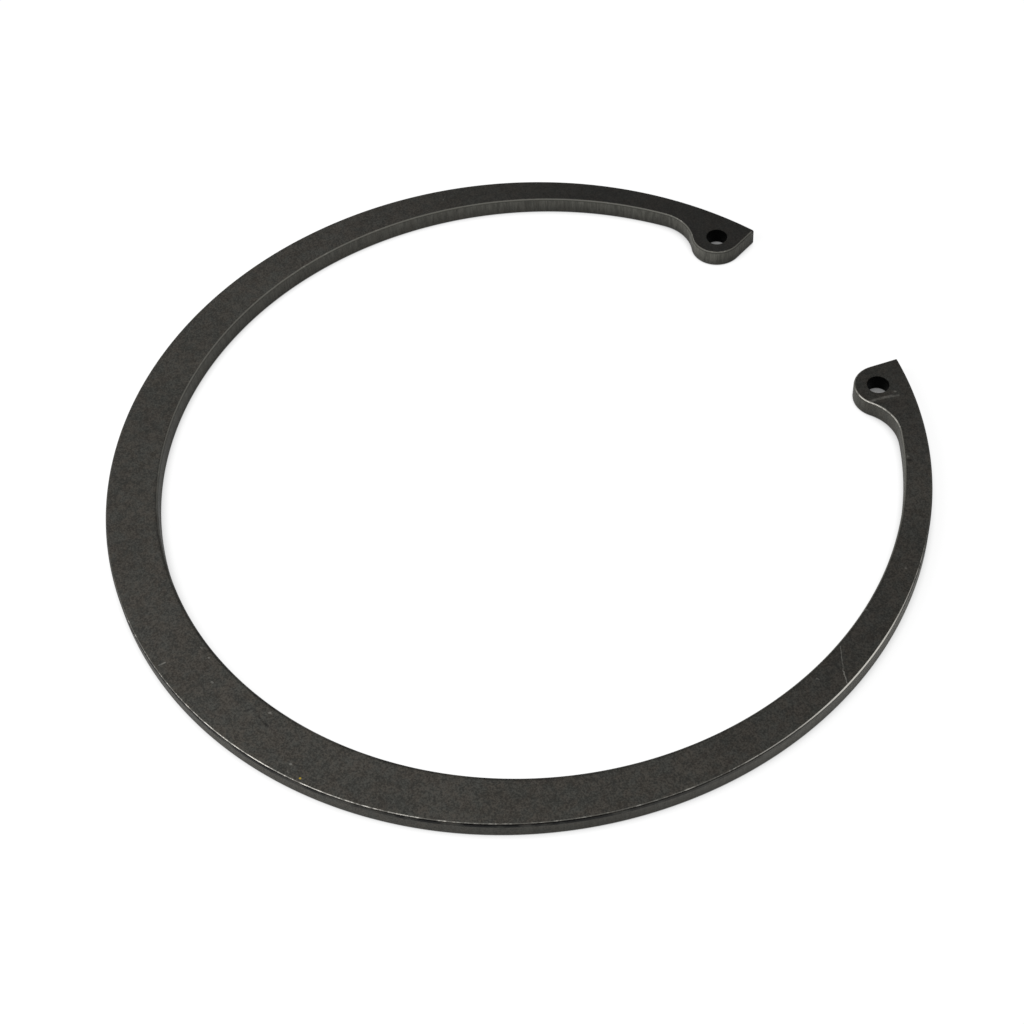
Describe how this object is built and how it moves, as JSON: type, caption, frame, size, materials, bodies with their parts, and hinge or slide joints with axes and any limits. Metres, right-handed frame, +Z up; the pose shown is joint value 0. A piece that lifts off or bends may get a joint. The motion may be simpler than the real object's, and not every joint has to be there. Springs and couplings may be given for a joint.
{
  "type": "internal retaining ring",
  "caption": "Flat open ring of spring steel that snaps into a groove inside a bore, tapering towards inward lugs with plier holes.",
  "frame": {"origin": "centre of the ring's outer circle, in the plane of its lower face", "axes": "+Z up through the thickness, along the axis of the bore that the ring sits in; +Y through the gap between the lugs; +X to the lug on the right as seen from above"},
  "size_m": [0.1744, 0.1708, 0.004],
  "materials": {
    "spring_steel": "black phosphate with a trace of oil, satin, worn bright along the edges"
  },
  "bodies": {
    "root": {"retaining_ring": "spring_steel"}
  },
  "joints": []
}
